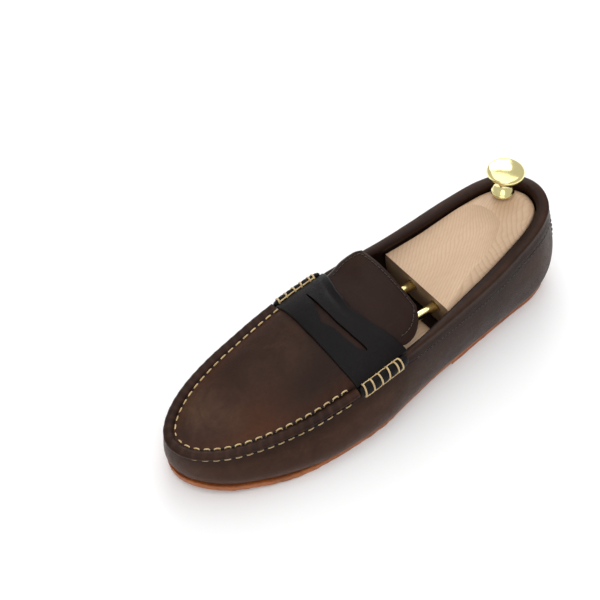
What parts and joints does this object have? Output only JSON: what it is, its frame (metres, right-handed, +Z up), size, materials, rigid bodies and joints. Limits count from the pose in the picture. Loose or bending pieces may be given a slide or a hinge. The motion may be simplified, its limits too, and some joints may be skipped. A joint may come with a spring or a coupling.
{
  "type": "moccasin",
  "caption": "Left penny moccasin in brown leather on a crepe rubber sole, with a sprung twin-tube beech shoe tree inside.",
  "frame": {"origin": "middle of the footprint, on the ground", "axes": "+X towards the toe, +Y towards the outer side of the foot, +Z up"},
  "size_m": [0.2966, 0.1037, 0.0908],
  "materials": {
    "upper_leather": "oiled pull-up, satin",
    "strap_leather": "waxed, near black",
    "lining_leather": "matt",
    "suede_side": "rough suede",
    "stiffener": "matt board",
    "insole_board": "matt fibre board",
    "cork": "matt cork",
    "crepe_rubber": "crinkled, satin",
    "seam_thread": "waxed thread",
    "sole_thread": "thread",
    "beech": "sanded, unvarnished",
    "brass": "polished",
    "spring_steel": "bright wire"
  },
  "bodies": {
    "shoe": {"crepe_outsole": "crepe_rubber", "crepe_heel_lift": "crepe_rubber", "sole_stitches": "sole_thread", "cork_filler": "cork", "insole_board": "insole_board", "sock_lining": "lining_leather", "side_panel": "upper_leather", "heel_panel": "upper_leather", "heel_counter": "stiffener", "toe_puff": "stiffener", "quarter_lining": "lining_leather", "toe_plug": "upper_leather", "plug_lining": "lining_leather", "tongue": "upper_leather", "tongue_lining": "suede_side", "saddle_strap": "strap_leather", "toe_seam_ridge": "upper_leather", "toe_seam_stitches": "seam_thread", "beef_roll_inner": "strap_leather", "beef_roll_outer": "strap_leather", "beef_roll_stitches": "seam_thread", "collar_binding": "upper_leather", "heel_seam": "strap_leather", "heel_seam_stitches": "seam_thread", "tree_tube_inner": "brass", "tree_tube_outer": "brass", "tree_spring_inner": "spring_steel", "tree_spring_outer": "spring_steel", "tree_toe_main": "beech", "tree_guide_pins": "brass", "tree_side_spring": "spring_steel"},
    "heel_block": {"tree_heel_block": "beech", "tree_knob": "brass"},
    "toe_side": {"tree_toe_side": "beech"}
  },
  "joints": [
    {"name": "tree_heel_slide", "type": "slide", "parent": "shoe", "child": "heel_block", "axis": [1, 0, 0], "range_m": [0, 0.01], "stiffness_N_per_m": 2000, "springref_m": -0.008, "deforming": ["tree_spring_inner", "tree_spring_outer"]},
    {"name": "tree_side_slide", "type": "slide", "parent": "shoe", "child": "toe_side", "axis": [0, -1, 0], "range_m": [0, 0.0045], "stiffness_N_per_m": 1500, "springref_m": -0.003, "deforming": ["tree_side_spring"]}
  ]
}
